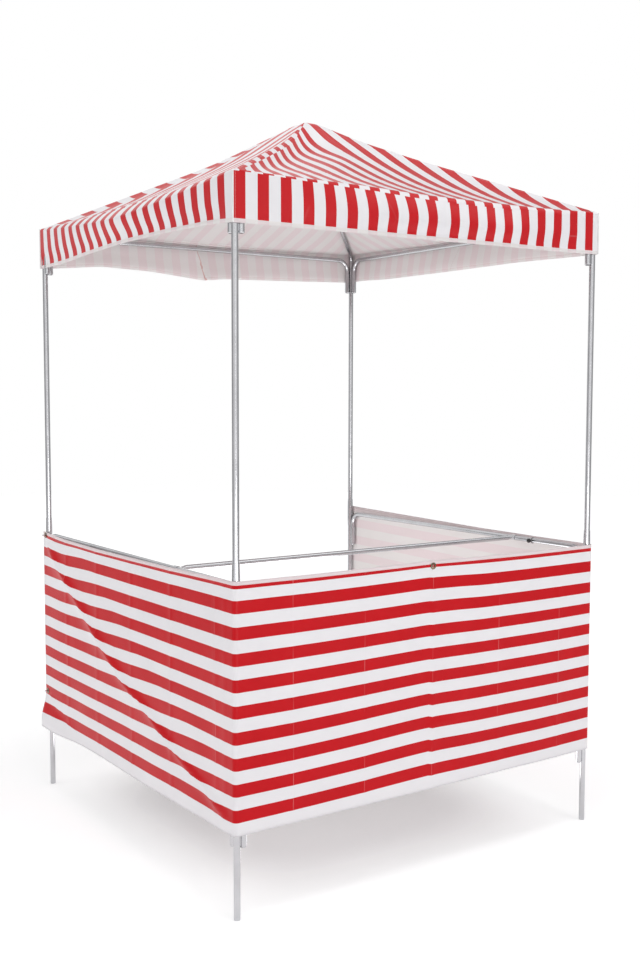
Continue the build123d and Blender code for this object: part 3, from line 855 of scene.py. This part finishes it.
class STALL_OT_canopy(bpy.types.Operator):
    """Sews the roof and its valance as one sheet over the frame"""
    bl_idname = "stall.canopy"
    bl_label = "Canopy"

    def execute(self, context):
        bm = bmesh.new()
        column, level, last = raise_canopy(bm)
        lay_canopy_maps(bm, column, level)
        bmesh.ops.pointmerge(bm, verts=last, merge_co=Vector((0, 0, APEX_Z)))
        piece = finish_cloth(bm, "canopy", lambda: sum(f.normal.z for f in bm.faces) < 0,
                             canopy_mask, crumpled=(0.35, 0.5), gloss=0.34)
        panels = [f"{part}_{side}" for part in ("roof_panel", "valance") for side in SIDES]
        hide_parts(*panels)
        return {"FINISHED"}


# ---- skirt -----------------------------------------------------------
CORNER_ROUND = 0.015
LEFT_CORNER = SKIRT_BACK + SKIRT_HALF
RIGHT_CORNER = LEFT_CORNER + 2 * SKIRT_HALF
SKIRT_RUN = RIGHT_CORNER + LEFT_CORNER
CORNER_CREASES = (LEFT_CORNER - 0.062, LEFT_CORNER + 0.058,
                  RIGHT_CORNER - 0.06, RIGHT_CORNER + 0.06)
SKIRT_TALL = 0.76
SKIRT_COLUMNS = (144, 12, 96, 12, 96)
SKIRT_ROWS = 72
SKIRT_HEM = (0.0145, 0.0155)   # the hem's edge, as shares of the height
PRINT_TALL = 0.7655


def skirt_places():
    """Distances of the columns along the skirt, closer at the corners."""
    bend = 1.2 * CORNER_ROUND
    stops = (0.0, LEFT_CORNER - bend, LEFT_CORNER + bend, RIGHT_CORNER - bend,
             RIGHT_CORNER + bend, SKIRT_RUN)
    places = [a + (b - a) * n / count
              for a, b, count in zip(stops, stops[1:], SKIRT_COLUMNS) for n in range(count)]
    return places + [SKIRT_RUN]


def skirt_base(place):
    """Point on the plan line of the skirt, and its outward direction."""
    turn = sum(min(1.0, max(0.0, (place - corner) / CORNER_ROUND * 0.5 + 0.5))
               for corner in (LEFT_CORNER, RIGHT_CORNER))
    angle = math.radians(180 + 90 * turn)
    out = Vector((math.cos(angle), math.sin(angle), 0))
    for corner, sx in ((LEFT_CORNER, -1), (RIGHT_CORNER, 1)):
        if abs(place - corner) < CORNER_ROUND:
            centre = Vector((sx, -1, 0)) * (SKIRT_HALF - CORNER_ROUND)
            return centre + out * CORNER_ROUND, out
    if place < LEFT_CORNER:
        return Vector((-SKIRT_HALF, SKIRT_BACK - place, 0)), out
    if place < RIGHT_CORNER:
        return Vector((-SKIRT_HALF + place - LEFT_CORNER, -SKIRT_HALF, 0)), out
    return Vector((SKIRT_HALF, -SKIRT_HALF + place - RIGHT_CORNER, 0)), out


def off_eyelets(place, down):
    """Distance to the nearest eyelet."""
    return min(math.hypot(place - p, down - d) for p, d in EYELETS)


def below_low_fold(place, down):
    """Distance below the fold that leaves the lower eyelet of the left side."""
    return down - 0.655 - place * 0.2


def skirt_swell(place, down):
    """Outward offset of the skirt cloth: gentle waves, packing folds and pulled folds."""
    corner = min(abs(place - LEFT_CORNER), abs(place - RIGHT_CORNER))
    ends = min(place, SKIRT_RUN - place)
    free = step(0.01, 0.15, corner) * step(0.03, 0.2, ends)
    wave = noise.noise(Vector((place * 2.6, down * 2.0, 3.0))) * 0.005
    wave += noise.noise(Vector((place * 7.0, down * 4.0, 9.0))) * 0.0016
    out = max(-0.0025, wave * free * (0.4 + 0.8 * down / SKIRT_TALL))
    out += sum(0.0018 * hump(place - crease, 0.008, 1.2) for crease in SKIRT_CREASES)
    out += sum(0.0012 * hump(place - crease, 0.007, 1.2) for crease in CORNER_CREASES)
    if place < LEFT_CORNER:
        line = place - along(LONG_FOLD, down)
        hold = step(0.0, 0.12, place) * step(0.0, 0.1, corner)
        ridge = math.hypot(line, 0.01) - 0.01
        out += hold * 0.0115 * hump(ridge, 0.05 if line < 0 else 0.026, 1.0)
        low = below_low_fold(place, down)
        out += 0.02 * step(0.0, 0.1, low) * (1 - step(0.1, 0.4, place))
        out += 0.003 * hump(low, 0.012, 1.0) * (1 - step(0.15, 0.3, place))
    across = place - LEFT_CORNER - SKIRT_HALF
    out += 0.004 * hump(across - 0.03, 0.07) * hump(down - 0.55, 0.014)
    clear = off_eyelets(place, down)
    return out * step(0.012, 0.05, clear) - 0.0012 * (1 - step(0.013, 0.03, clear))


def skirt_lift(place, down):
    """How far the print is pulled up at a place, next to folds and the middle seam."""
    hold = step(0.0, 0.05, down) * step(0.0, 0.03, SKIRT_TALL - down)
    lift = 0.0
    if place < LEFT_CORNER:
        line = place - along(LONG_FOLD, down)
        lift = along(FOLD_LIFT, line) * min(1.0, (LEFT_CORNER - place) / 0.35)
        lift *= 1 - 1.25 * (1 - step(0.03, 0.2, down)) * step(0.03, -0.03, line)
        if place < 0.3:
            low = below_low_fold(place, down)
            lift += 0.009 * step(-0.004, 0.012, low) * (1 - step(0.18, 0.3, place))
    elif place < RIGHT_CORNER:
        across = place - LEFT_CORNER - SKIRT_HALF
        lift = 0.0085 * hump(down - 0.55, 0.17) + 0.003
        lift *= hump(across, 0.28) if across < 0 else 0.62 * hump(across, 0.14)
        lift -= 0.003 * step(0.1, 0.25, across) * (1 - step(0.1, 0.35, down))
    return lift * hold


def hang_skirt(bm):
    """Shapes the grid into the skirt, and gives each vertex its place, print and depth."""
    places = skirt_places()
    wide = len(places) - 1
    bmesh.ops.create_grid(bm, x_segments=wide, y_segments=SKIRT_ROWS, size=0.5)
    seen = {}
    for vert in bm.verts:
        row = round((0.5 - vert.co.y) * SKIRT_ROWS)
        edge, body = SKIRT_HEM
        part = body + (1 - body) * (row - 2) / (SKIRT_ROWS - 2) if row > 1 else edge * row
        place = places[round((vert.co.x + 0.5) * wide)]
        point, out = skirt_base(place)
        top = eased(SKIRT_TOP, place)
        down = part * (top - eased(SKIRT_BOTTOM, place))
        swell = skirt_swell(place, down)
        if row < 2:
            swell += 0.001 * step(0.013, 0.02, off_eyelets(place, down))
        vert.co = point + out * swell
        vert.co.z = top - down
        seen[vert] = (place, part * PRINT_TALL + skirt_lift(place, down), down)
    return seen


class STALL_OT_skirt(bpy.types.Operator):
    """Hangs the skirt round three sides as one sheet"""
    bl_idname = "stall.skirt"
    bl_label = "Skirt"

    def execute(self, context):
        bm = bmesh.new()
        cloth, seams, creases = (bm.loops.layers.uv.new(layer) for layer in MAPS)
        seen = hang_skirt(bm)
        for face in bm.faces:
            middle = sum(seen[v][0] for v in face.verts) / 4
            near = min(SKIRT_CREASES, key=lambda c: abs(c - middle))
            for loop in face.loops:
                place, pattern, down = seen[loop.vert]
                loop[cloth].uv = (place, pattern)
                loop[seams].uv = (min(place, SKIRT_RUN - place) + FAR, down)
                loop[creases].uv = (place - near, FAR)
        in_front = next(f for f in bm.faces if f.calc_center_median().y < -SKIRT_HALF + 0.01)
        piece = finish_cloth(bm, "skirt", lambda: in_front.normal.y > 0,
                             skirt_mask, crumpled=(0.0, 0.0), gloss=0.17)
        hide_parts("skirt_front", "skirt_left", "skirt_right")
        return {"FINISHED"}


# ---- trims -----------------------------------------------------------
def rod(bm, start, end, radius, sides=10):
    """A slim rod with domed ends between two points."""
    start, end = Vector(start), Vector(end)
    way = end - start
    place = Matrix.Translation((start + end) / 2) @ way.to_track_quat("Z", "Y").to_matrix().to_4x4()
    made = bmesh.ops.create_cone(bm, cap_ends=True, segments=sides, radius1=radius,
                                 radius2=radius, depth=way.length)["verts"]
    bmesh.ops.transform(bm, matrix=place, verts=made)
    rims = [e for e in bm.edges if e.verts[0] in made
            and {len(f.verts) for f in e.link_faces} == {4, sides}]
    bmesh.ops.bevel(bm, geom=rims, offset=radius * 0.4, affect="EDGES", segments=2,
                    profile=0.5, material=-1)


class STALL_OT_piping(bpy.types.Operator):
    """Runs white piping down the four corners of the valance"""
    bl_idname = "stall.piping"
    bl_label = "Corner piping"

    def execute(self, context):
        bm = bmesh.new()
        for side, (out, right) in SIDES.items():
            corner = (out - right) * (EAVE_HALF + 0.0012)
            low = along(HEM_LINE[side], -EAVE_HALF) + 0.001
            high = along(SEAM_LINE[side], -EAVE_HALF) - 0.002
            rod(bm, (corner.x, corner.y, low), (corner.x, corner.y, high),
                context.scene.stall_sizes.piping)
        finish_piece(bm, "corner_piping", (piping_cloth("piping"),), 55.0)
        return {"FINISHED"}


class STALL_OT_finishes(bpy.types.Operator):
    """Finishes the tubes, eyelets and ties that come from the frame"""
    bl_idname = "stall.finishes"
    bl_label = "Finishes"

    def execute(self, context):
        colours = context.scene.stall_colours
        made = {
            "zinc_steel": metal("zinc plate", tuple(colours.zinc), 0.12, 0.17),
            "eyelet_brass": metal("eyelet brass", tuple(colours.brass), 0.18, 0.3),
            "tie_black": moulded("tie ball", plain((24, 24, 25)), 0.38),
            "elastic": braid("elastic cover"),
            "cap_plastic": moulded("cap plastic", plain((36, 36, 37)), 0.5),
        }
        spare = moulded("spare cloth", plain((220, 215, 214)), 0.5)
        slots = {part["node"]: part["material_slot"] for part in frame["record"]["subparts"]}
        for name, node in frame["nodes"].items():
            for slot in node.material_slots:
                slot.material = made.get(slots[name], spare)
        return {"FINISHED"}


# ---- stage -----------------------------------------------------------
CAMERA_PLACE = (-2.4452, -3.6787, 1.5833)
CAMERA_TURN = (34.289, -4.315, 0.111)     # degrees: to the right, up, and rolled
CAMERA_LENS = 43.59
BACKDROP_LIGHT = 0.41          # what the white surroundings give the stall
FLAG_GREY = 0.46

# Name, place, what it points at, size, power, and whether it lights and whether it gleams.
SOFTBOXES = (
    ("front softbox", (2.1, -7.6, 1.7), (0, 0, 1.3), (4.0, 3.0), 192.0, True, False),
    ("left softbox", (-7.6, 2.1, 1.7), (0, 0, 1.3), (4.0, 3.0), 172.0, True, False),
    ("side softbox", (-6.5, -0.6, 1.2), (0, 0, 1.5), (3.0, 2.0), 42.0, True, False),
    ("low softbox", (-1.6, -4.6, 0.5), (0.2, 0.4, 2.0), (2.0, 0.8), 27.0, True, True),
    ("top softbox", (0.0, -0.9, 6.0), (0, 0, 1.2), (2.4, 2.4), 85.0, True, True),
    ("floor bounce", (0.0, 0.0, 0.06), (0, 0, 2.0), (1.1, 1.1), 12.0, True, True),
    ("strip gleam", (-2.4, -5.4, 1.5), (-0.7, -0.7, 1.3), (0.35, 2.6), 6.0, False, True),
    ("eave gleam", (2.7, -3.0, 4.9), (0, -0.75, 2.15), (2.4, 2.2), 14.0, False, True),
)
# Grey flags, seen only in reflections, which keep the tubes' edges dark and the cloth's
# colour deep: degrees right of the camera's view, distance, lean, height, and half sizes.
FLAGS = (
    (-38, 4.4, 0, 1.9, 0.5, 1.9), (-79, 2.7, 0, 1.9, 0.65, 1.9), (-104, 5.0, 0, 1.9, 2.4, 1.9),
    (52, 5.0, 0, 1.9, 2.2, 1.9), (98, 5.0, 0, 1.9, 2.2, 1.9), (29, 5.0, 25, 6.2, 2.0, 2.6),
)


def seen_directly(shader):
    """1 for what the camera sees, straight or in a reflection, and 0 for light on the stall."""
    path = shader.id_data.nodes.new("ShaderNodeLightPath").outputs
    mirrored = most(path["Is Glossy Ray"], path["Is Transmission Ray"])
    return most(path["Is Camera Ray"], mirrored)


def set_camera(scene):
    place = Matrix.Translation(CAMERA_PLACE)
    right, up, roll = CAMERA_TURN
    for angle, axis in ((-right, "Z"), (90 + up, "X"), (roll, "Z")):
        place = place @ Matrix.Rotation(math.radians(angle), 4, axis)
    lens = bpy.data.cameras.new("camera")
    lens.lens = CAMERA_LENS
    lens.sensor_width = 36.0
    lens.clip_end = 200.0
    camera = bpy.data.objects.new("camera", lens)
    camera.matrix_world = place
    scene.collection.objects.link(camera)
    scene.camera = camera


def set_backdrop(scene):
    """White surroundings for the camera, and a lower level for the light they give."""
    scene.world = bpy.data.worlds.new("studio")
    scene.world.use_nodes = True
    shader = scene.world.node_tree.nodes["Background"]
    feed(shader, Color=(1, 1, 1, 1),
         Strength=ramp(seen_directly(shader), 0.0, 1.0, BACKDROP_LIGHT, 1.0))


def lay_floor_with_painted_shadow(colour):
    """Pale floor that keeps the stall's shadow, with a painted shadow added: seen directly, it
    glows less near the stall and brightens away from it.
    """
    bm = bmesh.new()
    bmesh.ops.create_circle(bm, cap_ends=True, segments=64, radius=14.0)
    made, shader = material("studio floor")
    place = on_object(shader)
    base = blend(clouds(place, 3.0), colour, tuple(c * 0.985 for c in colour))
    squares = [reckon("POWER", reckon("ABSOLUTE", way), 4.0)
               for way in split(place)[:2]]
    away = reckon("POWER", plus(*squares), 0.25)
    # Painted shadow: the glow seen directly falls to little within the stall's footprint, on top of
    # its real shadow.
    near = ramp(away, 0.4, 0.88, 0.055, 0.5, interpolation_type="SMOOTHSTEP")
    lift = plus(near, ramp(away, 1.2, 4.0, 0.0, 0.2))
    feed(shader, Base_Color=base, Roughness=0.85, Specular_IOR_Level=0.1,
         Emission_Color=(1, 1, 1, 1), Emission_Strength=times(seen_directly(shader), lift))
    new_object(bm, "floor", made)


def hang_softboxes(scene):
    for name, place, aim, size, power, lights, gleams in SOFTBOXES:
        lamp = bpy.data.lights.new(name, "AREA")
        lamp.shape = "RECTANGLE"
        lamp.size, lamp.size_y = size
        lamp.energy = power
        holder = bpy.data.objects.new(name, lamp)
        holder.location = place
        holder.rotation_mode = "QUATERNION"
        holder.rotation_quaternion = (Vector(aim) - Vector(place)).to_track_quat("-Z", "Y")
        holder.visible_camera = False
        holder.visible_diffuse, holder.visible_glossy = lights, gleams
        scene.collection.objects.link(holder)


def stand_flags():
    bm = bmesh.new()
    for turned, far, lean, high, wide, tall in FLAGS:
        way = math.radians(CAMERA_TURN[0] + turned)
        board = bmesh.ops.create_grid(bm, x_segments=1, y_segments=1, size=1.0)["verts"]
        bmesh.ops.scale(bm, vec=(wide, tall, 1), verts=board)
        for angle, axis in ((math.radians(90 + lean), "X"), (-way, "Z")):
            bmesh.ops.rotate(bm, matrix=Matrix.Rotation(angle, 3, axis), verts=board)
        bmesh.ops.translate(bm, vec=(far * math.sin(way), far * math.cos(way), high), verts=board)
    made, shader = material("flag cloth")
    feed(shader, Base_Color=(0.02, 0.02, 0.02, 1), Roughness=1.0,
         Emission_Color=(1, 1, 1, 1), Emission_Strength=FLAG_GREY)
    flags = new_object(bm, "flags", made)
    flags.visible_camera = flags.visible_diffuse = flags.visible_shadow = False


class STALL_OT_studio(bpy.types.Operator):
    """Sets up the camera, the pale floor and the soft light"""
    bl_idname = "stall.studio"
    bl_label = "Studio"

    def execute(self, context):
        scene = context.scene
        scene.view_settings.view_transform = "Standard"
        set_camera(scene)
        set_backdrop(scene)
        lay_floor_with_painted_shadow(tuple(scene.stall_colours.floor))
        hang_softboxes(scene)
        stand_flags()
        return {"FINISHED"}


# ---- add-on ----------------------------------------------------------
OPERATORS = (STALL_OT_studio, STALL_OT_finishes, STALL_OT_canopy, STALL_OT_skirt, STALL_OT_piping)


class STALL_PT_panel(bpy.types.Panel):
    bl_idname = "STALL_PT_panel"
    bl_label = "Market stall"
    bl_space_type = "VIEW_3D"
    bl_region_type = "UI"
    bl_category = "Market stall"

    def draw(self, context):
        column = self.layout.column()
        for kind in OPERATORS:
            column.operator(kind.bl_idname)
        for settings in (context.scene.stall_sizes, context.scene.stall_colours):
            for key in settings.bl_rna.properties.keys():
                if key not in ("rna_type", "name"):
                    column.prop(settings, key)


CLASSES = (StallSizes, StallColours, *OPERATORS, STALL_PT_panel)


def register():
    for kind in CLASSES:
        bpy.utils.register_class(kind)
    bpy.types.Scene.stall_sizes = bpy.props.PointerProperty(type=StallSizes)
    bpy.types.Scene.stall_colours = bpy.props.PointerProperty(type=StallColours)


def unregister():
    del bpy.types.Scene.stall_sizes
    del bpy.types.Scene.stall_colours
    for kind in reversed(CLASSES):
        bpy.utils.unregister_class(kind)


def main():
    register()
    make_groups()
    for kind in OPERATORS:
        area, action = kind.bl_idname.split(".")
        getattr(getattr(bpy.ops, area), action)()
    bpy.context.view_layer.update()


if __name__ == "__main__":
    main()
